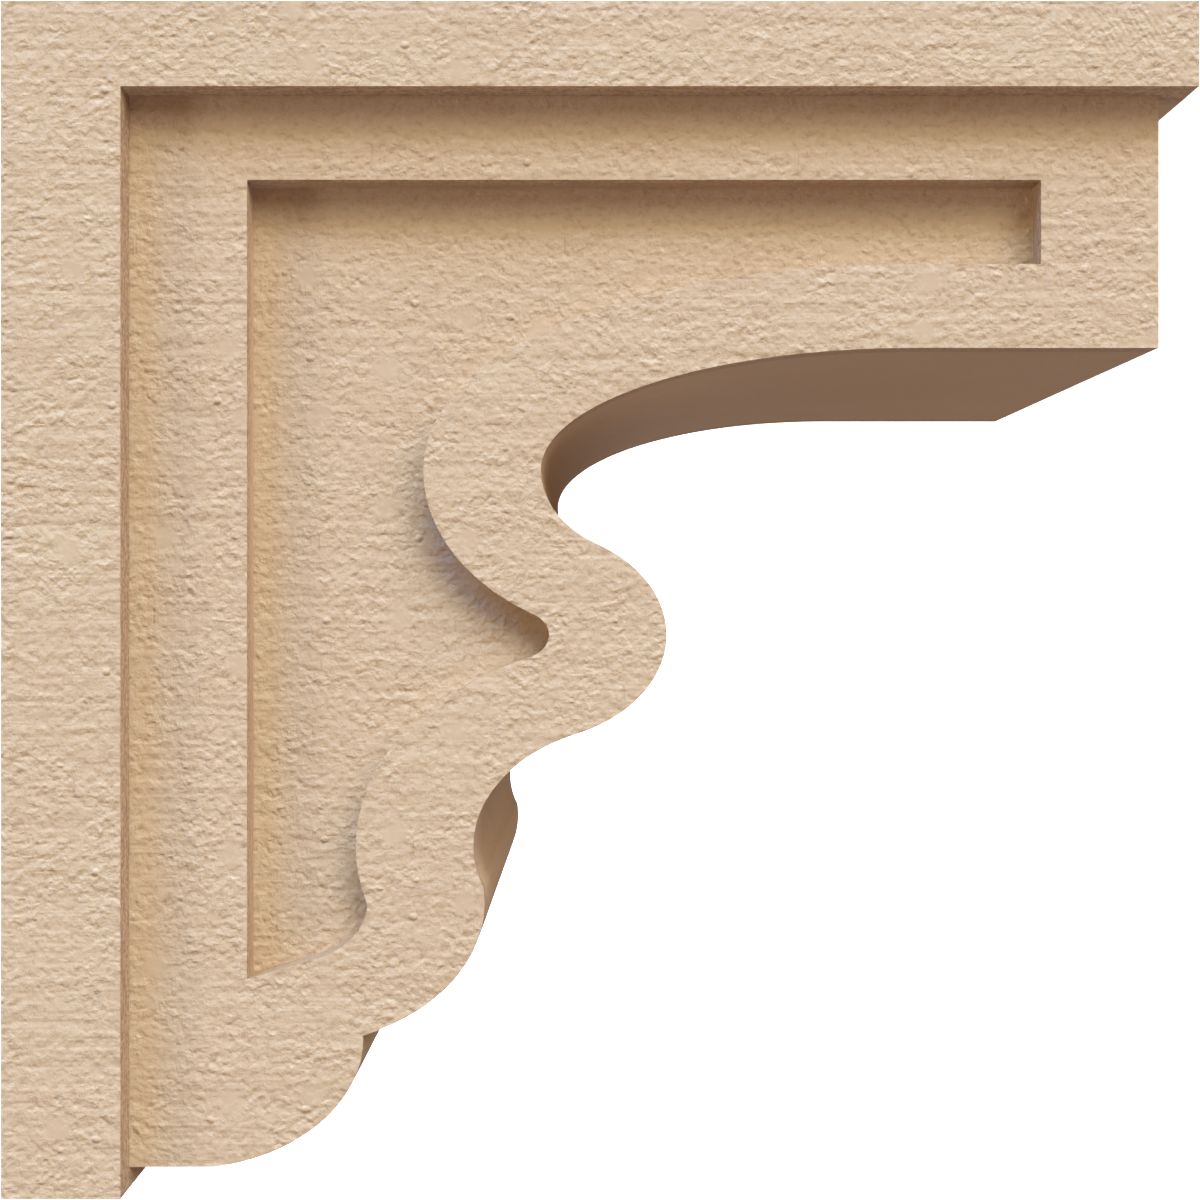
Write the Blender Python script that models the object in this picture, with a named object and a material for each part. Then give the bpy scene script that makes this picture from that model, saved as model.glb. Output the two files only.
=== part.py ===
"""Corbel: a back plate and a top plate in one casting with the S-curved body between them.

The body is set back from the plates' edges, and each of its two sides has a sunk panel
whose edge runs at an even border inside the body's own outline.

The row frame is in metres, +Z up. The back plate's rear face is the plane X = 0 and
its centre is the origin. The corbel projects along +X and is symmetric about Y = 0.
"""

from math import acos, atan2, ceil, cos, degrees, hypot, radians, sin, sqrt

import bmesh
import bpy

# Overall sizes, in metres
HEIGHT = 0.3048
PROJECTION = 0.3048
WIDTH = 0.1524
SIDE_SETBACK = 0.00635
PANEL_DEPTH = 0.00635

# The profile is set out with a compass on a pattern, U out from the wall and V up from
# the foot. The pattern is then stretched to the projection and the height, so that its
# circles become ellipses and its borders are wider along X than along Z.
PATTERN_DEPTH = 10.0
PATTERN_HEIGHT = 14.0
PLATE = 1.0
BORDER = 1.0
NOSE_SETBACK = 0.25
FOOT_SETBACK = 0.25

# The soffit under the arm, straight from the nose, then a quarter ellipse down to the throat
SOFFIT_V = 10.0
SOFFIT_END_U = 7.67
THROAT_U = 4.497

# Radii of the circles along the S-curve, from the throat down to the foot
THROAT_RADIUS = 1.032
BELLY_RADIUS = 1.295
WAIST_RADIUS = 1.456
HIP_RADIUS = 1.711
TOE_RADIUS = 1.544
BELLY_CENTRE = (4.273, 6.584)
WAIST_U = 3.924
HIP_CENTRE = (2.309, 3.385)
TOE_CENTRE = (1.442, 1.768)

# Where the panel's lower edge meets its upright edge
PANEL_TOE_V = 2.49

ARC_STEP = 4.0  # degrees between two points of a round stretch
SHARP_ANGLE = 10.0  # degrees above which an edge between two faces stays crisp
LAP = 0.2  # how far the body runs into the plates before the two are joined
CUTTER_REACH = 0.01  # how far a panel cutter stands out of the body's side

TAN_PRIMER = (0.60, 0.43, 0.27, 1.0)


def polar(centre, radius, angle):
    """The point at an angle in degrees on a circle."""
    return (
        centre[0] + radius * cos(radians(angle)),
        centre[1] + radius * sin(radians(angle)),
    )


def direction(start, end):
    """The angle in degrees from one point to another."""
    return degrees(atan2(end[1] - start[1], end[0] - start[0]))


def arc(centre, radius, start, end):
    """Points along a circle, from the start angle to the end angle in degrees."""
    steps = max(1, ceil(abs(end - start) / ARC_STEP))
    return [polar(centre, radius, start + (end - start) * i / steps) for i in range(steps + 1)]


def crossing(first, first_radius, second, second_radius, side):
    """Where two circles cross; side is +1 or -1 for the crossing left or right of the line
    from the first centre to the second."""
    apart = hypot(second[0] - first[0], second[1] - first[1])
    along = (apart**2 + first_radius**2 - second_radius**2) / (2 * apart)
    turn = degrees(acos(min(1.0, along / first_radius)))
    return polar(first, first_radius, direction(first, second) + side * turn)


def touching(centre, radius, other_u, other_radius, side):
    """Centre of a circle on the line U = other_u that touches the given one from outside;
    side is +1 for the touching circle above it, -1 for the one below."""
    rise = sqrt((radius + other_radius) ** 2 - (other_u - centre[0]) ** 2)
    return other_u, centre[1] + side * rise


THROAT_CENTRE = touching(BELLY_CENTRE, BELLY_RADIUS, THROAT_U + THROAT_RADIUS, THROAT_RADIUS, 1)
WAIST_CENTRE = touching(BELLY_CENTRE, BELLY_RADIUS, WAIST_U + WAIST_RADIUS, WAIST_RADIUS, -1)
SOFFIT_RADII = (SOFFIT_END_U - THROAT_U, SOFFIT_V - THROAT_CENTRE[1])


def soffit_curve(inset):
    """The quarter ellipse from the throat up to the straight soffit, moved into the body
    by the inset."""
    points = []
    steps = ceil(90 / ARC_STEP)
    for i in range(steps + 1):
        angle = radians(180 - 90 * i / steps)
        along = (cos(angle) / SOFFIT_RADII[0], sin(angle) / SOFFIT_RADII[1])
        length = hypot(*along)
        points.append(
            (
                SOFFIT_END_U + SOFFIT_RADII[0] * cos(angle) + inset * along[0] / length,
                THROAT_CENTRE[1] + SOFFIT_RADII[1] * sin(angle) + inset * along[1] / length,
            )
        )
    return points


def s_curve(inset, hip_start):
    """The S-curve from the hip up to the soffit's straight stretch, moved into the body by
    the inset. hip_start is the angle on the hip's circle where the curve begins."""
    hip, waist = HIP_RADIUS - inset, WAIST_RADIUS + inset
    belly, throat = BELLY_RADIUS - inset, THROAT_RADIUS + inset
    kink = crossing(HIP_CENTRE, hip, WAIST_CENTRE, waist, -1)
    belly_to_waist = direction(BELLY_CENTRE, WAIST_CENTRE)
    belly_to_throat = direction(BELLY_CENTRE, THROAT_CENTRE)
    points = arc(HIP_CENTRE, hip, hip_start, direction(HIP_CENTRE, kink))
    points += arc(WAIST_CENTRE, waist, direction(WAIST_CENTRE, kink) % 360, belly_to_waist + 180)[1:]
    points += arc(BELLY_CENTRE, belly, belly_to_waist, belly_to_throat)[1:]
    points += arc(THROAT_CENTRE, throat, belly_to_throat + 180, 180)[1:]
    return points + soffit_curve(inset)[1:]


def body_outline():
    """The body's side, from the foot round the S-curve and the arm, lapping into the plates."""
    ledge = crossing(TOE_CENTRE, TOE_RADIUS, HIP_CENTRE, HIP_RADIUS, -1)
    foot = (TOE_CENTRE[0] + sqrt(TOE_RADIUS**2 - (TOE_CENTRE[1] - FOOT_SETBACK) ** 2), FOOT_SETBACK)
    nose_u = PATTERN_DEPTH - NOSE_SETBACK
    joint_u, joint_v = PLATE - LAP, PATTERN_HEIGHT - PLATE + LAP
    points = [(joint_u, FOOT_SETBACK)]
    points += arc(TOE_CENTRE, TOE_RADIUS, direction(TOE_CENTRE, foot), direction(TOE_CENTRE, ledge))
    points += s_curve(0, direction(HIP_CENTRE, ledge))[1:]
    points += [(nose_u, SOFFIT_V), (nose_u, joint_v), (joint_u, joint_v)]
    return points


def panel_outline():
    """The sunk panel's edge: an even border inside the plates, the nose and the S-curve."""
    left, right = PLATE + BORDER, PATTERN_DEPTH - NOSE_SETBACK - BORDER
    top = PATTERN_HEIGHT - PLATE - BORDER
    toe = (left, PANEL_TOE_V)
    reach = hypot(HIP_CENTRE[0] - toe[0], HIP_CENTRE[1] - toe[1])
    tangent = direction(HIP_CENTRE, toe) + degrees(acos((HIP_RADIUS - BORDER) / reach))
    points = [toe]
    points += s_curve(BORDER, tangent)
    points += [(right, SOFFIT_V + BORDER), (right, top), (left, top)]
    return points


def plate_outline():
    """The back plate and the top plate, which meet at the upper corner."""
    under = PATTERN_HEIGHT - PLATE
    return [
        (0, 0),
        (PLATE, 0),
        (PLATE, under),
        (PATTERN_DEPTH, under),
        (PATTERN_DEPTH, PATTERN_HEIGHT),
        (0, PATTERN_HEIGHT),
    ]


def prism(name, outline, y_from, y_to):
    """A solid that carries a pattern outline, stretched to real size, from one Y to another."""
    mesh = bpy.data.meshes.new(name)
    shape = bmesh.new()
    corners = [
        shape.verts.new(
            (u * PROJECTION / PATTERN_DEPTH, y_from, v * HEIGHT / PATTERN_HEIGHT - HEIGHT / 2)
        )
        for u, v in outline
    ]
    side = shape.faces.new(corners)
    swept = bmesh.ops.extrude_face_region(shape, geom=[side])["geom"]
    far_corners = [item for item in swept if isinstance(item, bmesh.types.BMVert)]
    bmesh.ops.translate(shape, verts=far_corners, vec=(0, y_to - y_from, 0))
    bmesh.ops.recalc_face_normals(shape, faces=shape.faces)
    shape.to_mesh(mesh)
    shape.free()
    solid = bpy.data.objects.new(name, mesh)
    bpy.context.scene.collection.objects.link(solid)
    return solid


def combine(solid, other, operation):
    """Joins another solid to this one, or cuts it out, and removes the other."""
    boolean = solid.modifiers.new(other.name, "BOOLEAN")
    boolean.operation = operation
    boolean.solver = "EXACT"
    boolean.object = other
    evaluated = solid.evaluated_get(bpy.context.evaluated_depsgraph_get())
    combined = bpy.data.meshes.new_from_object(evaluated)
    solid.modifiers.clear()
    solid.data = combined
    bpy.data.objects.remove(other)


def tan_primer():
    """Matte tan primer over the moulded face."""
    material = bpy.data.materials.new("tan_primer")
    material.use_nodes = True
    shader = material.node_tree.nodes["Principled BSDF"]
    shader.inputs["Base Color"].default_value = TAN_PRIMER
    shader.inputs["Roughness"].default_value = 0.85
    return material


def build_corbel():
    """The whole corbel as one solid."""
    body_half = WIDTH / 2 - SIDE_SETBACK
    floor_half = body_half - PANEL_DEPTH
    corbel = prism("corbel", plate_outline(), -WIDTH / 2, WIDTH / 2)
    combine(corbel, prism("body", body_outline(), -body_half, body_half), "UNION")
    for name, side in (("near_panel_cutter", -1), ("far_panel_cutter", 1)):
        inner, outer = side * floor_half, side * (body_half + CUTTER_REACH)
        cutter = prism(name, panel_outline(), min(inner, outer), max(inner, outer))
        combine(corbel, cutter, "DIFFERENCE")
    corbel.data.name = "corbel"
    corbel.data.materials.append(tan_primer())
    corbel.data.shade_smooth()
    corbel.data.set_sharp_from_angle(angle=radians(SHARP_ANGLE))


for old in list(bpy.data.objects):
    bpy.data.objects.remove(old)
build_corbel()
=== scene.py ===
"""A moulded corbel with a rough-sawn face, in matte tan primer, on a plain white sweep.

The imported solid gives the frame. The shown piece has the same profile, a fine mesh with
the sawn face's ripples in it, and a material for the finer grain, the marks and the colour.
"""

from math import acos, atan2, ceil, cos, degrees, hypot, pi, radians, sin, sqrt

import bmesh
import bpy
import numpy as np
from bpy.props import FloatProperty, FloatVectorProperty, IntProperty, PointerProperty
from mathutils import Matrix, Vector
from mathutils.geometry import delaunay_2d_cdt
from mathutils.kdtree import KDTree


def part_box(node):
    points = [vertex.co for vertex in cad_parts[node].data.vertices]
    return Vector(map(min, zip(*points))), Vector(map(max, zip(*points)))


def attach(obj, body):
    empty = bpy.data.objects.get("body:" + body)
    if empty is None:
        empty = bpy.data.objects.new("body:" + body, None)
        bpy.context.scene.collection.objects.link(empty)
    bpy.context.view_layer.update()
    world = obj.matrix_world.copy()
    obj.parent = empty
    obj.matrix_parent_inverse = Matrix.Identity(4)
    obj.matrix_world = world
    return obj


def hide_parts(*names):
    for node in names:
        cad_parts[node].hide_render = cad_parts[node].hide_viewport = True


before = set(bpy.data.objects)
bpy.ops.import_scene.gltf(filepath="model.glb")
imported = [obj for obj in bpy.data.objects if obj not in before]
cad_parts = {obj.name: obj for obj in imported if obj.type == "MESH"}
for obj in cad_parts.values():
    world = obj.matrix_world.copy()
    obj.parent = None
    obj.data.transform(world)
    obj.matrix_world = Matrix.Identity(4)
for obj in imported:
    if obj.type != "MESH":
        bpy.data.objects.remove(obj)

bl_info = {
    "name": "Rough-sawn corbel",
    "version": (1, 0, 0),
    "blender": (4, 5, 0),
    "location": "View3D > Sidebar > Corbel",
    "description": "Builds a moulded corbel with a rough-sawn face, and its studio",
    "category": "Add Mesh",
}

LOW, HIGH = (Vector(corner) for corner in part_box("corbel"))
MM = 0.001

# The profile's compass pattern, U out from the wall and V up from the foot, which is
# stretched to the projection and the height
PATTERN_DEPTH = 10.0
PATTERN_HEIGHT = 14.0
PLATE = 1.0
BORDER = 1.0
NOSE_U = 9.75
FOOT_V = 0.25
UNDER_V = PATTERN_HEIGHT - PLATE
SOFFIT_V = 10.0
SOFFIT_END_U = 7.67
THROAT_U = 4.497
THROAT_RADIUS = 1.032
BELLY_RADIUS = 1.295
WAIST_RADIUS = 1.456
HIP_RADIUS = 1.711
TOE_RADIUS = 1.544
BELLY_CENTRE = (4.273, 6.584)
WAIST_U = 3.924
HIP_CENTRE = (2.309, 3.385)
TOE_CENTRE = (1.442, 1.768)
PANEL_TOE_V = 2.49
SIDE_SETBACK = 0.00635
PANEL_DEPTH = 0.00635

# The shown mesh
ARC_STEP = 1.0  # degrees between two points of a round stretch
CORNER_ANGLE = 6.0  # degrees of turn that make a point of the outline a corner
CRISP_ANGLE = 38.0  # degrees between faces above which shading breaks
WELD = 0.00001  # how near two points are when they are one
STEP_ROWS = 3  # rows of faces down a plate's step and down a panel's wall
EDGE_MARGIN = 0.62  # spacings between the outline and the nearest point inside it

# A ramp takes a value's stretch, the first two numbers, smoothly to that from 0 to 1, or
# to the stretch that its last two numbers give
LOOKS_UP = (0.2, 0.9)
LOOKS_OUT = (0.2, 0.9)
LOOKS_BACK = (-0.6, -0.95)
LOOKS_DOWN = (-0.6, -0.95)

# The ripples in the mesh
RIPPLED_SIDE = (0.5, 0.95)  # how far a face looks sideways
RIPPLES_ELSEWHERE = 0.15  # share of the ripples on the other faces
RIPPLE_GAIN = 2.0  # the noise alone reaches only half a height either way
SWELL_SCALE = 0.22
SWELL_SHARE = 0.6
STRENGTH_SCALE = 0.16
STRENGTH_RAMP = (0.35, 0.65, 0.45, 1.25)
CHIP_SCALE = 0.7
CHIP_RAMP = (0.3, 0.75, 0.35, 1.6)
WORN_BEND = (0.15, 0.5)  # radians between the faces at a worn edge

# The grain, where scales are per grain length and shares per grain height
GRAINED_SIDE = (0.6, 0.85)  # how far a face looks sideways
LUMP_STRETCH = 1.22  # how much longer than high the lumps are
LEAN_SCALE = 1.2
LEAN_REACH = 0.6  # how far a lump is pushed up or down
SHADE_REACH = 0.25  # how far below a lump its shade is taken
CRUMB_SCALE = 2.0
CRUMB_SHARE = 0.5
LUMP_SHARE = 0.82
ROUGHNESS_SCALE = 0.26
ROUGH_RAMP = (0.36, 0.64, 0.6, 1.4)
STREAK_STRETCH = 26.0  # how much longer than high the streaks are
STREAK_SCALE = 0.62
STREAK_RAMP = (0.36, 0.6, 1.0, 0.5)
STREAK_SHARE = 0.86
VEIN_SHIFT = (0.0, 30.0, 0.0)  # in mm, so that veins and lumps differ
VEIN_SCALE = 0.7
VEIN_RAMP = (0.08, 0.0)
VEIN_CRUMBS = (0.04, 0.16)
VEIN_SHARE = 0.1
BRUSHED_SCALES = (0.12, 1.1, 0.25)  # of the streaks on the smoother faces, per mm
BRUSHED_SHARE = 0.12

# The marks on the face, with their sizes in mm
PATCH_SPACING = 20.0  # between two places where the face may be smooth
PATCH_RAMP = (1.2, 4.6, 1.0, 0.0)
PATCH_ABOVE = 0.7  # a place has a smooth patch where its own number is above this
PATCH_SMOOTHING = 0.9
NUB_SPACING = 21.0  # between two places where the face may have a nub
NUB_PLACE = (0.8, 40.0)  # how X is stretched and shifted, so that nubs lie off the patches
NUB_RAMP = (0.2, 1.2, 1.0, 0.0)
NUB_ABOVE = 0.8
NUB_SHARE = 0.6
STROKE_OFFSET = (5.0, -4.0)  # X and Z from a patch's middle to its upright scratch
STROKE_ACROSS = (0.4, 0.15)
STROKE_ALONG = (2.6, 1.6)
STROKE_ABOVE = 0.78
STROKE_SHARE = 0.15
SAW_PLACE = (287.0, 144.0)  # X and Z of the saw's marks near the top plate's end
SAW_ACROSS = (12.0, 6.0)
SAW_ALONG = (7.5, 4.0)
SAW_LEAN = (0.85, 0.53)  # X and Z of the way across those marks
SAW_PITCH = 1.45  # between two of the marks
SAW_SHARE = 0.05

# Where the primer is darker or paler: painted shade and highlight, and random mottle
SHADE_SHARES = (0.9, 0.4, 0.5)  # of a lump's upper side, its height and the crumbs
# Painted shade on the lumps' lower sides and in the veins and scratches
LUMP_SHADE_RAMP = (0.0, -0.24)
SHADE_MASK_SHARES = (0.55, 0.55, 0.3)  # of the shade, the veins and the scratches
SHADE_DEPTH = 0.75
# Painted highlight on the lumps' upper sides
HIGHLIGHT_RAMP = (0.0, 0.24, 0.0, 0.4)
MOTTLE_SCALES = (0.03, 0.05, 0.07)
MOTTLE_RAMP = (0.35, 0.7, 0.0, 0.14)
# Painted shade on the faces that look up
TOP_SHADE_SHARE = 0.85
FRONT_RAMP = (20.0, -30.0, 0.2, 0.42)  # painted shade on the body's front, by height in mm
PLATE_FRONT = 0.58  # painted shade on the plates' front edges
# Painted shade on the faces that look back, and on the undersides by the panels' walls
BACK_SHARE = 0.76
UNDER_SHARE = 0.3
UNDER_EDGE = 1.0  # mm over which the body's underside takes on the painted shade
WORN_SHARES = (0.7, 0.55)  # of the uneven colour, at the plates' edges and lost inside
WORN_MIX = (0.6, 0.7)  # of the brushed streaks and the crumbs in it
WORN_RAMP = (0.2, -0.2, -0.5, 0.5)
MATTE_LUMPS = (-0.2, 0.2)
MATTE_CHANGE = (0.06, -0.05)
SPECULAR = 0.3

BODY_HALF = (HIGH.y - SIDE_SETBACK) / MM  # half the body's width, in mm
FLOOR_HALF = BODY_HALF - PANEL_DEPTH / MM  # half the width between the panels' floors, in mm

# Each light's direction, the angle that it spreads over in degrees, and its colour
LIGHTS = {
    "key": ((0.612, -0.5, 0.612), 38.0, (1.0, 0.99, 0.935)),
    "top": ((0.0, -0.5, 0.866), 24.0, (0.985, 1.0, 0.6)),
    "sky": ((0.243, -0.342, 0.908), 24.0, (0.495, 0.648, 1.0)),
    "window": ((-0.492, -0.174, 0.853), 38.0, (0.19, 0.433, 1.0)),
    "rim": ((-0.94, -0.342, 0.0), 8.0, (1.0, 0.98, 0.94)),
    "bounce": ((0.45, -0.2, -0.87), 60.0, (0.62, 0.72, 1.0)),
    "fill": ((-0.62, 0.6, 0.5), 24.0, (0.62, 0.71, 1.0)),
    "back": ((-0.85, 0.5, 0.15), 40.0, (0.8, 1.0, 0.3)),
}

CAMERA_PLACE = (0.1524, -0.4072, 0.0)
SENSOR = 36.0
LENS = 39.06
NEAREST = 0.01  # the camera's clip start, in metres

# The white sweep
SWEEP_BEND = 0.25  # radius of the bend between floor and dome, as a share of the dome's
BEND_STEPS = 8
DOME_STEPS = 12
TURN_STEPS = 48
SWEEP_WELD = 0.001
SWEEP_ROUGHNESS = 0.95
SWEEP_GLOW = 1.0


class CorbelSizes(bpy.types.PropertyGroup):
    """Sizes of the cast face."""

    mesh_spacing: FloatProperty(
        name="Mesh spacing", description="Distance between two points of the side faces",
        default=0.0015, min=0.001, unit="LENGTH", subtype="DISTANCE",
    )
    row_spacing: FloatProperty(
        name="Row spacing", description="Distance between two rows across the width",
        default=0.0046, min=0.002, unit="LENGTH", subtype="DISTANCE",
    )
    ripple_height: FloatProperty(
        name="Ripple height", description="Height of the saw's ripples in the side faces",
        default=0.0002, min=0.0, unit="LENGTH", subtype="DISTANCE",
    )
    ripple_length: FloatProperty(
        name="Ripple length", description="Distance between two ripples, measured up the face",
        default=0.0065, min=0.003, unit="LENGTH", subtype="DISTANCE",
    )
    ripple_stretch: FloatProperty(
        name="Ripple stretch", description="How much longer than high the ripples are",
        default=12.0, min=1.0,
    )
    edge_rounding: FloatProperty(
        name="Edge rounding", description="How far an outer edge is worn back",
        default=0.00004, min=0.0, unit="LENGTH", subtype="DISTANCE",
    )
    seed: IntProperty(name="Seed", description="Which of the possible faces is cast", default=4)


class CorbelFinish(bpy.types.PropertyGroup):
    """Colours, with painted shade and highlight, and fine grain of the primer."""

    primer: FloatVectorProperty(
        name="Primer", description="Colour of the primed face", subtype="COLOR", size=4,
        default=(0.594, 0.422, 0.252, 1.0), min=0.0, max=1.0,
    )
    # Painted shade: the colour on the lumps' lower sides and in the veins and scratches
    crease_shade: FloatVectorProperty(
        name="Creases", description="Colour in the creases between the bumps", subtype="COLOR",
        size=4, default=(0.37, 0.23, 0.115, 1.0), min=0.0, max=1.0,
    )
    # Painted highlight on the lumps' upper sides; the random mottle takes the same pale colour
    painted_highlight: FloatVectorProperty(
        name="Crests", description="Colour of the lit tops of the bumps", subtype="COLOR",
        size=4, default=(0.685, 0.545, 0.37, 1.0), min=0.0, max=1.0,
    )
    # Painted shade: the colour of the faces that look out from the wall, back and down
    cut: FloatVectorProperty(
        name="Shaded faces", description="Colour of the faces that look out from the wall or back",
        subtype="COLOR", size=4, default=(0.30, 0.18, 0.098, 1.0), min=0.0, max=1.0,
    )
    # Painted shade: the colour of the faces that look up
    top_shade: FloatVectorProperty(
        name="Top_shade", description="Colour of what lies on the faces that look up",
        subtype="COLOR", size=4, default=(0.29, 0.178, 0.083, 1.0), min=0.0, max=1.0,
    )
    grain_length: FloatProperty(
        name="Grain length", description="Distance between two lumps, measured up the face",
        default=0.0021, min=0.0005, unit="LENGTH", subtype="DISTANCE",
    )
    grain_height: FloatProperty(
        name="Grain height", description="Height of the bumps",
        default=0.0005, min=0.0, unit="LENGTH", subtype="DISTANCE",
    )
    roughness: FloatProperty(
        name="Roughness", description="How matte the primer is", default=0.86, min=0.0,
        max=1.0, subtype="FACTOR",
    )


class CorbelStudio(bpy.types.PropertyGroup):
    """Floor, sweep and lights."""

    floor_drop: FloatProperty(
        name="Floor drop", description="How far the floor lies below the corbel's middle",
        default=0.9, min=0.2, unit="LENGTH", subtype="DISTANCE",
    )
    sweep_radius: FloatProperty(
        name="Sweep radius", description="Radius of the white sweep round the corbel",
        default=3.4, min=1.5, unit="LENGTH", subtype="DISTANCE",
    )
    sweep_colour: FloatVectorProperty(
        name="Sweep", description="Colour of the floor and the sweep", subtype="COLOR", size=4,
        default=(0.95, 0.95, 0.95, 1.0), min=0.0, max=1.0,
    )
    key_strength: FloatProperty(
        name="Key", description="Strength of the light from the upper front", default=2.06,
        min=0.0,
    )
    top_strength: FloatProperty(
        name="Top", description="Strength of the warm light from above", default=1.21, min=0.0,
    )
    sky_strength: FloatProperty(
        name="Sky", description="Strength of the cool light from high above", default=2.86,
        min=0.0,
    )
    window_strength: FloatProperty(
        name="Window", description="Strength of the blue grazing light from the upper back",
        default=6.6, min=0.0,
    )
    rim_strength: FloatProperty(
        name="Rim", description="Strength of the level grazing light from the back", default=0.98,
        min=0.0,
    )
    bounce_strength: FloatProperty(
        name="Bounce", description="Strength of the light that the floor throws back up",
        default=0.66, min=0.0,
    )
    fill_strength: FloatProperty(
        name="Fill", description="Strength of the light on the far side and the back",
        default=6.32, min=0.0,
    )
    back_strength: FloatProperty(
        name="Back", description="Strength of the yellow light on the back and the far side",
        default=1.0, min=0.0,
    )
    ambient: FloatVectorProperty(
        name="Ambient", description="Light that comes evenly from all round", subtype="COLOR",
        size=4, default=(0.25, 0.172, 0.13, 1.0), min=0.0, max=1.0,
    )


class Field:
    """An output socket of a node tree; Python's operators on it add Math nodes."""

    def __init__(self, sheet, socket):
        self.sheet = sheet
        self.socket = socket

    def math(self, operation, *others, reflected=False):
        """A Math node on this value and others."""
        values = (*others, self) if reflected else (self, *others)
        node = self.sheet.node("ShaderNodeMath", {"operation": operation}, dict(enumerate(values)))
        return self.sheet.field(node)

    def __add__(self, other):
        return self.math("ADD", other)

    def __sub__(self, other):
        return self.math("SUBTRACT", other)

    def __rsub__(self, other):
        return self.math("SUBTRACT", other, reflected=True)

    def __mul__(self, other):
        return self.math("MULTIPLY", other)

    def __truediv__(self, other):
        return self.math("DIVIDE", other)

    def __abs__(self):
        return self.math("ABSOLUTE")

    def __lt__(self, other):
        return self.math("LESS_THAN", other)

    def __gt__(self, other):
        return self.math("GREATER_THAN", other)


class Sheet:
    """A node tree that is being filled."""

    def __init__(self, tree):
        self.tree = tree

    def node(self, kind, settings=None, values=None):
        """Adds a node: its settings first, then its sockets' values or links."""
        made = self.tree.nodes.new(kind)
        for name, value in (settings or {}).items():
            setattr(made, name, value)
        for key, value in (values or {}).items():
            if isinstance(value, Field):
                self.tree.links.new(value.socket, made.inputs[key])
            else:
                made.inputs[key].default_value = value
        return made

    def field(self, node, output=0):
        """One of a node's outputs."""
        return Field(self, node.outputs[output])

    def scaled(self, vector, factors):
        """A vector with each of its axes multiplied."""
        values = {0: vector, 1: factors}
        return self.field(self.node("ShaderNodeVectorMath", {"operation": "MULTIPLY"}, values))

    def shifted(self, vector, offset):
        """A vector moved by another."""
        return self.field(
            self.node("ShaderNodeVectorMath", {"operation": "ADD"}, {0: vector, 1: offset})
        )

    def parts(self, vector):
        """A vector's X, Y and Z."""
        split = self.node("ShaderNodeSeparateXYZ", values={0: vector})
        return [self.field(split, i) for i in range(3)]

    def joined(self, x, y, z):
        """A vector from its X, Y and Z."""
        return self.field(self.node("ShaderNodeCombineXYZ", values={0: x, 1: y, 2: z}))

    def noise(self, vector, scale, detail=2.0, roughness=0.5, distortion=0.0):
        """Soft noise from 0 to 1; its length is one over the scale."""
        values = {
            "Vector": vector, "Scale": scale, "Detail": detail, "Roughness": roughness,
            "Distortion": distortion,
        }
        return self.field(self.node("ShaderNodeTexNoise", values=values))

    def ramp(self, value, low, high, to_low=0.0, to_high=1.0):
        """Takes a value's stretch from low to high smoothly to another."""
        values = {
            "Value": value, "From Min": low, "From Max": high,
            "To Min": to_low, "To Max": to_high,
        }
        settings = {"interpolation_type": "SMOOTHSTEP"}
        return self.field(self.node("ShaderNodeMapRange", settings, values))

    def mixed(self, factor, first, second):
        """A colour between two."""
        node = self.node("ShaderNodeMix", {"data_type": "RGBA"}, {0: factor, 6: first, 7: second})
        return self.field(node, 2)


def polar(centre, radius, angle):
    """The point at an angle in degrees on a circle."""
    return centre[0] + radius * cos(radians(angle)), centre[1] + radius * sin(radians(angle))


def direction(start, end):
    """The angle in degrees from one point to another."""
    return degrees(atan2(end[1] - start[1], end[0] - start[0]))


def arc(centre, radius, start, end):
    """Points along a circle, from the start angle to the end angle in degrees."""
    steps = max(1, ceil(abs(end - start) / ARC_STEP))
    return [polar(centre, radius, start + (end - start) * i / steps) for i in range(steps + 1)]


def crossing(first, first_radius, second, second_radius):
    """Where two circles cross, right of the line from the first centre to the second."""
    apart = hypot(second[0] - first[0], second[1] - first[1])
    along = (apart**2 + first_radius**2 - second_radius**2) / (2 * apart)
    turn = degrees(acos(along / first_radius))
    return polar(first, first_radius, direction(first, second) - turn)


def touching(centre, radius, other_u, other_radius, side):
    """Centre of a circle on the line U = other_u that touches the given one from outside,
    above it where side is 1 and below it where side is -1."""
    rise = sqrt((radius + other_radius) ** 2 - (other_u - centre[0]) ** 2)
    return other_u, centre[1] + side * rise


THROAT_CENTRE = touching(BELLY_CENTRE, BELLY_RADIUS, THROAT_U + THROAT_RADIUS, THROAT_RADIUS, 1)
WAIST_CENTRE = touching(BELLY_CENTRE, BELLY_RADIUS, WAIST_U + WAIST_RADIUS, WAIST_RADIUS, -1)
SOFFIT_RADII = (SOFFIT_END_U - THROAT_U, SOFFIT_V - THROAT_CENTRE[1])


def soffit_curve(inset):
    """The quarter ellipse from the throat to the straight soffit, moved in by the inset."""
    points = []
    steps = ceil(90 / ARC_STEP)
    for i in range(steps + 1):
        angle = radians(180 - 90 * i / steps)
        out = Vector((cos(angle) / SOFFIT_RADII[0], sin(angle) / SOFFIT_RADII[1])).normalized()
        points.append(
            (
                SOFFIT_END_U + SOFFIT_RADII[0] * cos(angle) + inset * out.x,
                THROAT_CENTRE[1] + SOFFIT_RADII[1] * sin(angle) + inset * out.y,
            )
        )
    return points


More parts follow.
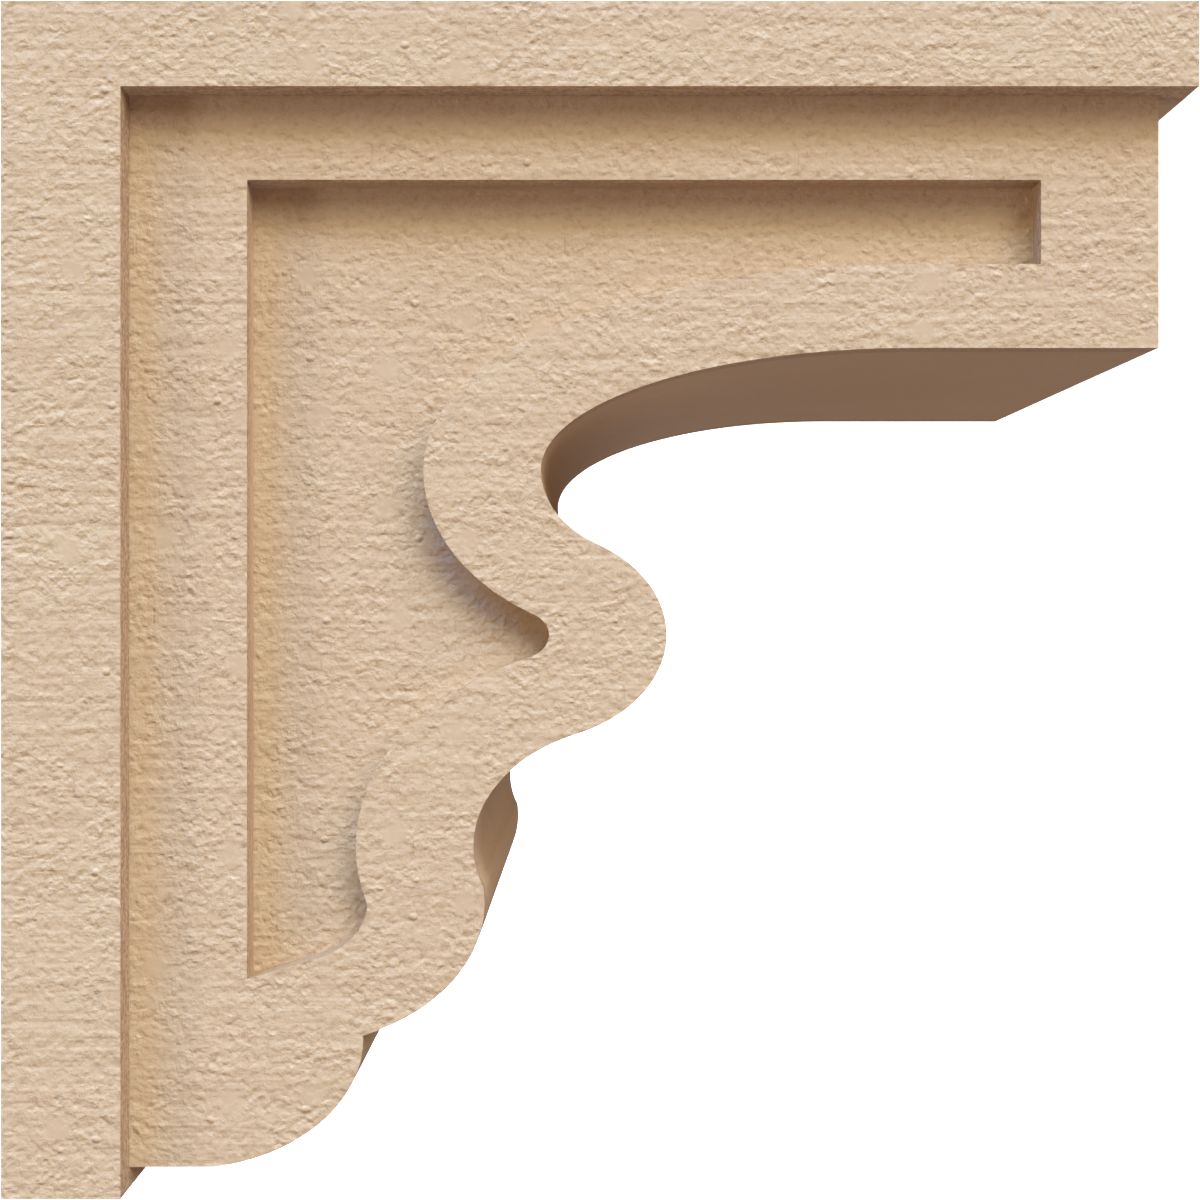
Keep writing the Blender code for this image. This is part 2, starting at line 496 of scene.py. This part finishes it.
def s_curve(inset, hip_start):
    """The S-curve from the hip up to the straight soffit, moved in by the inset."""
    hip, waist = HIP_RADIUS - inset, WAIST_RADIUS + inset
    belly, throat = BELLY_RADIUS - inset, THROAT_RADIUS + inset
    kink = crossing(HIP_CENTRE, hip, WAIST_CENTRE, waist)
    to_waist = direction(BELLY_CENTRE, WAIST_CENTRE)
    to_throat = direction(BELLY_CENTRE, THROAT_CENTRE)
    points = arc(HIP_CENTRE, hip, hip_start, direction(HIP_CENTRE, kink))
    points += arc(WAIST_CENTRE, waist, direction(WAIST_CENTRE, kink) % 360, to_waist + 180)[1:]
    points += arc(BELLY_CENTRE, belly, to_waist, to_throat)[1:]
    points += arc(THROAT_CENTRE, throat, to_throat + 180, 180)[1:]
    return points + soffit_curve(inset)[1:]


def front_line():
    """The body's free edge, from the foot of the plate round to the underside of the top."""
    ledge = crossing(TOE_CENTRE, TOE_RADIUS, HIP_CENTRE, HIP_RADIUS)
    toe_end = (TOE_CENTRE[0] + sqrt(TOE_RADIUS**2 - (TOE_CENTRE[1] - FOOT_V) ** 2), FOOT_V)
    points = [(PLATE, FOOT_V)]
    points += arc(
        TOE_CENTRE, TOE_RADIUS, direction(TOE_CENTRE, toe_end), direction(TOE_CENTRE, ledge)
    )
    points += s_curve(0, direction(HIP_CENTRE, ledge))[1:]
    return points + [(NOSE_U, SOFFIT_V), (NOSE_U, UNDER_V)]


def panel_line():
    """The sunk panel's edge, which ends where it starts."""
    left, right, top = PLATE + BORDER, NOSE_U - BORDER, UNDER_V - BORDER
    toe = (left, PANEL_TOE_V)
    reach = hypot(HIP_CENTRE[0] - toe[0], HIP_CENTRE[1] - toe[1])
    tangent = direction(HIP_CENTRE, toe) + degrees(acos((HIP_RADIUS - BORDER) / reach))
    points = [toe] + s_curve(BORDER, tangent)
    return points + [(right, SOFFIT_V + BORDER), (right, top), (left, top), toe]


def spaced(pattern_line, spacing):
    """Real X and Z at an even spacing along a line of the pattern, keeping its corners."""
    line = [
        Vector(
            (
                LOW.x + u * (HIGH.x - LOW.x) / PATTERN_DEPTH,
                LOW.z + v * (HIGH.z - LOW.z) / PATTERN_HEIGHT,
            )
        )
        for u, v in pattern_line
    ]
    stops = [0]
    for i in range(1, len(line) - 1):
        turn = (line[i] - line[i - 1]).angle(line[i + 1] - line[i])
        if degrees(turn) > CORNER_ANGLE:
            stops.append(i)
    stops.append(len(line) - 1)
    points = [line[0]]
    for start, end in zip(stops, stops[1:]):
        stretch = line[start : end + 1]
        lengths = np.cumsum([0.0] + [(b - a).length for a, b in zip(stretch, stretch[1:])])
        count = max(1, round(lengths[-1] / spacing))
        marks = np.linspace(0.0, lengths[-1], count + 1)[1:]
        xs = np.interp(marks, lengths, [p.x for p in stretch])
        zs = np.interp(marks, lengths, [p.y for p in stretch])
        points += [Vector(pair) for pair in zip(xs, zs)]
    return points


def is_inside(points, loops):
    """Which points of an array lie in the region that closed loops bound."""
    inside = np.zeros(len(points), bool)
    for loop in loops:
        for a, b in zip(loop, loop[1:] + loop[:1]):
            if a.y == b.y:
                continue
            spans = (points[:, 1] < a.y) != (points[:, 1] < b.y)
            cut = a.x + (points[:, 1] - a.y) * (b.x - a.x) / (b.y - a.y)
            inside ^= spans & (points[:, 0] < cut)
    return inside


def fill(loops, spacing):
    """Points and even triangles over the flat region that closed loops bound."""
    points, edges = [], []
    for loop in loops:
        first = len(points)
        points += loop
        edges += [(first + i, first + (i + 1) % len(loop)) for i in range(len(loop))]
    low, high = np.min(points, 0), np.max(points, 0)
    rows = []
    for i, z in enumerate(np.arange(low[1], high[1], spacing * sqrt(3) / 2)):
        xs = np.arange(low[0] + (i % 2) * spacing / 2, high[0], spacing)
        rows.append(np.column_stack([xs, np.full(len(xs), z)]))
    lattice = np.concatenate(rows)
    lattice = lattice[is_inside(lattice, loops)]
    near = KDTree(len(points))
    for i, point in enumerate(points):
        near.insert((point.x, point.y, 0.0), i)
    near.balance()
    clear = [near.find((x, z, 0.0))[2] > spacing * EDGE_MARGIN for x, z in lattice]
    points = points + [Vector(pair) for pair in lattice[clear]]
    found, _, faces = delaunay_2d_cdt(points, edges, [], 1, WELD / 10, False)[:3]
    places = np.array(found)
    faces = np.array(faces)
    kept = faces[is_inside(places[faces].mean(1), loops)]
    return places, kept


class Shell:
    """The points and faces of a closed shape, before its seams are welded."""

    def __init__(self):
        self.points = []
        self.faces = []

    def add(self, points, faces):
        """More points, and faces over them."""
        first = len(self.points)
        self.points += points
        self.faces += [[first + corner for corner in face] for face in faces]

    def add_flat(self, loops, spacing, depths):
        """A flat region of the side view, at each of several Y."""
        places, faces = fill(loops, spacing)
        for depth in depths:
            self.add([(x, depth, z) for x, z in places], faces)

    def add_strip(self, line, rows):
        """A wall that follows a line of the side view, with rows of points across it."""
        count = len(rows)
        points = [(p.x, y, p.y) for p in line for y in rows]
        faces = [
            (a, a + 1, a + count + 1, a + count)
            for i in range(len(line) - 1)
            for a in range(i * count, i * count + count - 1)
        ]
        self.add(points, faces)

    def mesh(self, name):
        """The welded mesh, facing out."""
        mesh = bpy.data.meshes.new(name)
        mesh.from_pydata(self.points, [], self.faces)
        shape = bmesh.new()
        shape.from_mesh(mesh)
        bmesh.ops.remove_doubles(shape, verts=shape.verts, dist=WELD)
        bmesh.ops.recalc_face_normals(shape, faces=shape.faces)
        shape.to_mesh(mesh)
        shape.free()
        return mesh


def corbel_shell(sizes):
    """The corbel's closed shape with flat faces, finely divided."""
    outer = spaced(
        [
            (PLATE, FOOT_V), (PLATE, 0), (0, 0), (0, PATTERN_HEIGHT),
            (PATTERN_DEPTH, PATTERN_HEIGHT), (PATTERN_DEPTH, UNDER_V), (NOSE_U, UNDER_V),
        ],
        sizes.mesh_spacing,
    )
    inner = spaced([(PLATE, FOOT_V), (PLATE, UNDER_V), (NOSE_U, UNDER_V)], sizes.mesh_spacing)
    front = spaced(front_line(), sizes.mesh_spacing)
    panel = spaced(panel_line(), sizes.mesh_spacing)
    plate_half = HIGH.y
    body_half = plate_half - SIDE_SETBACK
    floor_half = body_half - PANEL_DEPTH
    step = list(np.linspace(body_half, plate_half, STEP_ROWS + 1))
    wall = list(np.linspace(floor_half, body_half, STEP_ROWS + 1))
    across = list(np.linspace(-body_half, body_half, ceil(2 * body_half / sizes.row_spacing)))
    back_of_inner = inner[-2:0:-1]

    shell = Shell()
    shell.add_flat([outer + back_of_inner], sizes.mesh_spacing, (-plate_half, plate_half))
    shell.add_flat(
        [front + back_of_inner, panel[:-1]], sizes.mesh_spacing, (-body_half, body_half)
    )
    shell.add_flat([panel[:-1]], sizes.mesh_spacing, (-floor_half, floor_half))
    shell.add_strip(outer, [-y for y in reversed(step[1:])] + across + step[1:])
    shell.add_strip(front, across)
    for side in (-1, 1):
        shell.add_strip(inner, [side * y for y in step])
        shell.add_strip(panel, [side * y for y in wall])
    return shell.mesh("corbel_casting")


def relief_tree():
    """Geometry nodes that raise the sawn face's ripples and wear the outer edges."""
    tree = bpy.data.node_groups.new("sawn_relief", "GeometryNodeTree")
    panel = tree.interface
    panel.new_socket("Geometry", in_out="INPUT", socket_type="NodeSocketGeometry")
    for name in ("Ripple height", "Ripple length", "Ripple stretch", "Edge rounding", "Seed"):
        panel.new_socket(name, in_out="INPUT", socket_type="NodeSocketFloat")
    panel.new_socket("Material", in_out="INPUT", socket_type="NodeSocketMaterial")
    panel.new_socket("Geometry", in_out="OUTPUT", socket_type="NodeSocketGeometry")

    sheet = Sheet(tree)
    given = sheet.node("NodeGroupInput")
    geometry, height, length, stretch, rounding, seed, material = (
        sheet.field(given, i) for i in range(7)
    )
    place = sheet.field(sheet.node("GeometryNodeInputPosition"))
    normal = sheet.field(sheet.node("GeometryNodeInputNormal"))
    x, y, z = sheet.parts(place)
    side_facing = sheet.ramp(abs(sheet.parts(normal)[1]), *RIPPLED_SIDE)

    drawn = sheet.joined(x / stretch / length + seed, y / length, z / length)
    ripples = sheet.noise(drawn, 1.0, detail=2.5, roughness=0.6, distortion=0.5) - 0.5
    swells = sheet.noise(drawn, SWELL_SCALE, detail=1.0) - 0.5
    strength = sheet.ramp(sheet.noise(drawn, STRENGTH_SCALE, detail=1.0), *STRENGTH_RAMP)
    free = (x > LOW.x + WELD) * (z < HIGH.z - WELD)
    rise = (ripples * strength + swells * SWELL_SHARE) * height * RIPPLE_GAIN
    rise = rise * (side_facing * (1 - RIPPLES_ELSEWHERE) + RIPPLES_ELSEWHERE) * free

    bend = sheet.field(sheet.node("GeometryNodeInputMeshEdgeAngle"), 1)
    chips = sheet.ramp(sheet.noise(drawn, CHIP_SCALE, detail=2.0), *CHIP_RAMP)
    wear = sheet.ramp(bend, *WORN_BEND) * rounding * chips

    moved = sheet.field(
        sheet.node(
            "ShaderNodeVectorMath", {"operation": "SCALE"}, {0: normal, "Scale": rise - wear}
        )
    )
    raised = sheet.field(
        sheet.node("GeometryNodeSetPosition", values={"Geometry": geometry, "Offset": moved})
    )
    real = sheet.field(sheet.node("GeometryNodeRealizeInstances", values={0: raised}))
    painted = sheet.node("GeometryNodeSetMaterial", values={"Geometry": real, "Material": material})
    sheet.node("NodeGroupOutput", values={0: sheet.field(painted)})
    return tree


class Surface:
    """Where a point of the surface is, in mm, which way it faces, and its grain."""

    def __init__(self, sheet, length):
        coordinates = sheet.node("ShaderNodeTexCoord")
        self.place = sheet.scaled(sheet.field(coordinates, 3), (1 / MM,) * 3)
        self.x, self.y, self.z = sheet.parts(self.place)
        self.out, sideways, self.up = sheet.parts(sheet.field(coordinates, 1))
        self.side_facing = sheet.ramp(abs(sideways), *GRAINED_SIDE)

        drawn = sheet.joined(self.x / LUMP_STRETCH, self.y, self.z)
        lean = sheet.noise(drawn, LEAN_SCALE / length, detail=1.0) - 0.5
        height = self.z + lean * length * LEAN_REACH
        leaning = sheet.joined(self.x / LUMP_STRETCH, self.y, height)
        lower = sheet.shifted(leaning, (0.0, 0.0, -SHADE_REACH * length))
        self.lumps = sheet.noise(leaning, 1 / length, detail=1.2) - 0.5
        self.turned_up = sheet.noise(lower, 1 / length, detail=1.2) - 0.5 - self.lumps
        self.crumbs = sheet.noise(self.place, CRUMB_SCALE / length, detail=1.4) - 0.5
        self.brushed = sheet.noise(sheet.scaled(self.place, BRUSHED_SCALES), 1.0) - 0.5
        veins = sheet.noise(sheet.shifted(self.place, VEIN_SHIFT), VEIN_SCALE / length)
        self.vein = sheet.ramp(abs(veins - 0.5), *VEIN_RAMP)
        self.vein = self.vein * sheet.ramp(self.crumbs, *VEIN_CRUMBS)


def grain_height(sheet, face, length):
    """Height of the lumps, crumbs, long streaks and veins."""
    roughness = sheet.noise(face.place, ROUGHNESS_SCALE / length)
    stretched = sheet.joined(face.x / STREAK_STRETCH, face.y, face.z)
    streaks = sheet.noise(stretched, STREAK_SCALE / length, detail=2.5) - 0.5
    lumps = (face.lumps + face.crumbs * CRUMB_SHARE) * sheet.ramp(roughness, *ROUGH_RAMP)
    streaks = streaks * sheet.ramp(roughness, *STREAK_RAMP)
    return lumps * LUMP_SHARE + streaks * STREAK_SHARE - face.vein * VEIN_SHARE


def scattered(sheet, x, z, spacing):
    """Places scattered over the side: the distance to the nearest in mm, two random
    numbers of its own, and its X and Z."""
    places = sheet.node(
        "ShaderNodeTexVoronoi", {"voronoi_dimensions": "2D"},
        {"Vector": sheet.joined(x, z, 0.0), "Scale": 1 / spacing},
    )
    numbers = sheet.parts(sheet.field(places, 1))[:2]
    middle = sheet.parts(sheet.field(places, 2))[:2]
    return sheet.field(places, 0) * spacing, numbers, middle


def smooth_patches(sheet, face):
    """Smudges where the face is smooth, and an upright scratch beside some of them."""
    distance, numbers, middle = scattered(sheet, face.x, face.z, PATCH_SPACING)
    patch = sheet.ramp(distance, *PATCH_RAMP) * (numbers[0] > PATCH_ABOVE)
    stroke = sheet.ramp(abs(face.x - middle[0] - STROKE_OFFSET[0]), *STROKE_ACROSS)
    along = sheet.ramp(abs(face.z - middle[1] - STROKE_OFFSET[1]), *STROKE_ALONG)
    return patch, stroke * along * (numbers[1] > STROKE_ABOVE)


def nubs(sheet, face):
    """Small round nubs here and there."""
    stretch, shift = NUB_PLACE
    distance, numbers, _ = scattered(sheet, face.x * stretch + shift, face.z, NUB_SPACING)
    return sheet.ramp(distance, *NUB_RAMP) * (numbers[0] > NUB_ABOVE)


def saw_marks(sheet, face):
    """The saw's close slanting marks near the end of the top plate."""
    across = (face.x * SAW_LEAN[0] + face.z * SAW_LEAN[1]) * (2 * pi / SAW_PITCH)
    marks = across.math("SINE") * sheet.ramp(abs(face.x - SAW_PLACE[0]), *SAW_ACROSS)
    return marks * sheet.ramp(abs(face.z - SAW_PLACE[1]), *SAW_ALONG)


def painted_shade_share(sheet, face):
    """Painted shade on the faces that look out, back and down, and uneven random tone."""
    inner = sheet.ramp(abs(face.y), BODY_HALF, FLOOR_HALF)
    front = (sheet.ramp(face.z, *FRONT_RAMP) - PLATE_FRONT) * inner + PLATE_FRONT
    # Painted shade on the faces that look out, darker low on the body's front, and on those that
    # look back
    share = sheet.ramp(face.out, *LOOKS_OUT) * front
    share = share + sheet.ramp(face.out, *LOOKS_BACK) * BACK_SHARE
    uneven = face.brushed * WORN_MIX[0] + face.crumbs * WORN_MIX[1]
    worn = (WORN_SHARES[0] - inner * WORN_SHARES[1]) * (1 - face.side_facing)
    share = share + sheet.ramp(uneven, *WORN_RAMP) * worn
    # Painted shade on the undersides by the panels' walls
    under = sheet.ramp(abs(face.y), FLOOR_HALF, FLOOR_HALF + UNDER_EDGE, 0.0, UNDER_SHARE)
    return share + sheet.ramp(face.up, *LOOKS_DOWN) * under


def primer_material(finish):
    """Matte tan primer over the rough-sawn face: lumps, crumbs, nubs and smooth patches."""
    material = bpy.data.materials.new("tan_primer")
    material.use_nodes = True
    material.node_tree.nodes.clear()
    sheet = Sheet(material.node_tree)
    length = finish.grain_length / MM
    face = Surface(sheet, length)
    patch, stroke = smooth_patches(sheet, face)

    height = grain_height(sheet, face, length) + saw_marks(sheet, face) * SAW_SHARE
    height = (height - stroke * STROKE_SHARE) * (1 - patch * PATCH_SMOOTHING)
    height = (height + nubs(sheet, face) * NUB_SHARE) * face.side_facing
    height = height + face.brushed * (1 - face.side_facing) * BRUSHED_SHARE

    # Which side of a lump faces up, for painted shade below it and painted highlight above it
    shaded = face.turned_up * SHADE_SHARES[0] + face.lumps * SHADE_SHARES[1]
    shaded = shaded + face.crumbs * SHADE_SHARES[2]
    # Painted shade on the lumps' lower sides, in the veins and in the scratches, away from the
    # smooth patches
    shade_mask = sheet.ramp(shaded, *LUMP_SHADE_RAMP) * SHADE_MASK_SHARES[0]
    shade_mask = shade_mask + face.vein * SHADE_MASK_SHARES[1] + stroke * SHADE_MASK_SHARES[2]
    shade_mask = shade_mask * (1 - patch) * face.side_facing
    # Painted highlight on the lumps' upper sides
    painted_highlight = sheet.ramp(shaded, *HIGHLIGHT_RAMP) * face.side_facing
    mottle = sheet.noise(sheet.scaled(face.place, MOTTLE_SCALES), 1.0, detail=3.0, roughness=0.6)
    colour = sheet.mixed(shade_mask * SHADE_DEPTH, finish.primer, finish.crease_shade)
    # The painted highlight and the random mottle share one pale colour
    colour = sheet.mixed(painted_highlight + sheet.ramp(mottle, *MOTTLE_RAMP), colour, finish.painted_highlight)
    # Painted shade on the faces that look up
    colour = sheet.mixed(sheet.ramp(face.up, *LOOKS_UP) * TOP_SHADE_SHARE, colour, finish.top_shade)
    # Painted shade on the faces that look out, back and down, with uneven random tone
    colour = sheet.mixed(painted_shade_share(sheet, face), colour, finish.cut)

    bump = sheet.node(
        "ShaderNodeBump",
        values={"Strength": 1.0, "Distance": finish.grain_height, "Height": height},
    )
    matte = [finish.roughness + change for change in MATTE_CHANGE]
    shader = sheet.node(
        "ShaderNodeBsdfPrincipled",
        values={
            "Base Color": colour, "Roughness": sheet.ramp(face.lumps, *MATTE_LUMPS, *matte),
            "Normal": sheet.field(bump), "Specular IOR Level": SPECULAR,
        },
    )
    sheet.node("ShaderNodeOutputMaterial", values={"Surface": sheet.field(shader)})
    return material


def link(piece):
    """Puts an object in the scene."""
    bpy.context.scene.collection.objects.link(piece)
    return piece


class CORBEL_OT_casting(bpy.types.Operator):
    """Build the moulded corbel in place of its plain solid"""

    bl_idname = "corbel.casting"
    bl_label = "Corbel"

    def execute(self, context):
        sizes, finish = context.scene.corbel_sizes, context.scene.corbel_finish
        casting = link(bpy.data.objects.new("corbel_casting", corbel_shell(sizes)))
        relief = casting.modifiers.new("relief", "NODES")
        relief.node_group = relief_tree()
        wanted = {
            "Ripple height": sizes.ripple_height,
            "Ripple length": sizes.ripple_length,
            "Ripple stretch": sizes.ripple_stretch,
            "Edge rounding": sizes.edge_rounding,
            "Seed": float(sizes.seed),
            "Material": primer_material(finish),
        }
        for socket in relief.node_group.interface.items_tree:
            if socket.in_out == "INPUT" and socket.name in wanted:
                relief[socket.identifier] = wanted[socket.name]
        context.view_layer.update()
        evaluated = casting.evaluated_get(context.evaluated_depsgraph_get())
        mesh = bpy.data.meshes.new_from_object(evaluated)
        casting.modifiers.clear()
        casting.data = mesh
        mesh.shade_smooth()
        mesh.set_sharp_from_angle(angle=radians(CRISP_ANGLE))
        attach(casting, "root")
        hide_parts("corbel")
        return {"FINISHED"}


def sweep_mesh(studio):
    """A round white sweep: a flat floor that curves up into a dome."""
    radius, drop = studio.sweep_radius, studio.floor_drop
    bend = radius * SWEEP_BEND
    profile = [(0.0, -drop), (radius - bend, -drop)]
    for i in range(1, BEND_STEPS + 1):
        angle = radians(-90 + 90 * i / BEND_STEPS)
        profile.append((radius - bend + bend * cos(angle), -drop + bend + bend * sin(angle)))
    for i in range(1, DOME_STEPS + 1):
        angle = radians(90 * i / DOME_STEPS)
        profile.append((radius * cos(angle), -drop + bend + radius * sin(angle)))
    shape = bmesh.new()
    ends = [shape.verts.new((r, 0.0, z)) for r, z in profile]
    edges = [shape.edges.new(pair) for pair in zip(ends, ends[1:])]
    bmesh.ops.spin(
        shape, geom=ends + edges, cent=(0, 0, 0), axis=(0, 0, 1), angle=2 * pi,
        steps=TURN_STEPS,
    )
    bmesh.ops.remove_doubles(shape, verts=shape.verts, dist=SWEEP_WELD)
    bmesh.ops.recalc_face_normals(shape, faces=shape.faces)
    bmesh.ops.reverse_faces(shape, faces=shape.faces)
    mesh = bpy.data.meshes.new("studio_sweep")
    shape.to_mesh(mesh)
    shape.free()
    mesh.shade_smooth()
    return mesh


def sweep_material(studio):
    """Plain white paint, bright enough to read as white in every view."""
    material = bpy.data.materials.new("white_sweep")
    material.use_nodes = True
    shader = material.node_tree.nodes["Principled BSDF"]
    shader.inputs["Base Color"].default_value = studio.sweep_colour
    shader.inputs["Roughness"].default_value = SWEEP_ROUGHNESS
    shader.inputs["Emission Color"].default_value = (1.0, 1.0, 1.0, 1.0)
    shader.inputs["Emission Strength"].default_value = SWEEP_GLOW
    return material


def add_light(name, towards, spread, strength, colour):
    """A far soft light that spreads over an angle in degrees, from the given direction."""
    data = bpy.data.lights.new(name, "SUN")
    data.angle = radians(spread)
    data.energy = strength
    data.color = colour
    lamp = link(bpy.data.objects.new(name, data))
    lamp.rotation_euler = Vector(towards).to_track_quat("Z", "Y").to_euler()


class CORBEL_OT_stage(bpy.types.Operator):
    """Set up the white sweep, the lights and the camera"""

    bl_idname = "corbel.stage"
    bl_label = "Stage"

    def execute(self, context):
        studio = context.scene.corbel_studio
        sweep = link(bpy.data.objects.new("studio_sweep", sweep_mesh(studio)))
        sweep.data.materials.append(sweep_material(studio))
        sweep.visible_diffuse = False
        sweep.visible_glossy = False
        sweep.visible_shadow = False

        world = bpy.data.worlds.new("studio_light")
        world.use_nodes = True
        world.node_tree.nodes["Background"].inputs["Color"].default_value = studio.ambient
        context.scene.world = world
        for name, (towards, spread, colour) in LIGHTS.items():
            add_light(name, towards, spread, getattr(studio, name + "_strength"), colour)

        data = bpy.data.cameras.new("camera")
        data.sensor_width = SENSOR
        data.lens = LENS
        data.clip_start = NEAREST
        camera = link(bpy.data.objects.new("camera", data))
        camera.location = CAMERA_PLACE
        camera.rotation_euler = (radians(90), 0.0, 0.0)
        context.scene.camera = camera
        context.scene.view_settings.view_transform = "Standard"
        return {"FINISHED"}


class CORBEL_PT_sidebar(bpy.types.Panel):
    """The corbel's sizes, finish and studio"""

    bl_label = "Corbel"
    bl_space_type = "VIEW_3D"
    bl_region_type = "UI"
    bl_category = "Corbel"

    def draw(self, context):
        scene = context.scene
        for group in (scene.corbel_sizes, scene.corbel_finish, scene.corbel_studio):
            box = self.layout.box()
            for name in group.bl_rna.properties.keys():
                if name not in ("rna_type", "name"):
                    box.prop(group, name)
        for operator in (CORBEL_OT_casting, CORBEL_OT_stage):
            self.layout.operator(operator.bl_idname)


GROUPS = {
    "corbel_sizes": CorbelSizes,
    "corbel_finish": CorbelFinish,
    "corbel_studio": CorbelStudio,
}
CLASSES = (*GROUPS.values(), CORBEL_OT_casting, CORBEL_OT_stage, CORBEL_PT_sidebar)


def register():
    for each in CLASSES:
        bpy.utils.register_class(each)
    for name, group in GROUPS.items():
        setattr(bpy.types.Scene, name, PointerProperty(type=group))


def unregister():
    for name in GROUPS:
        delattr(bpy.types.Scene, name)
    for each in reversed(CLASSES):
        bpy.utils.unregister_class(each)


def main():
    """Builds everything."""
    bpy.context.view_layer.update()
    register()
    bpy.ops.corbel.stage()
    bpy.ops.corbel.casting()


if __name__ == "__main__":
    main()
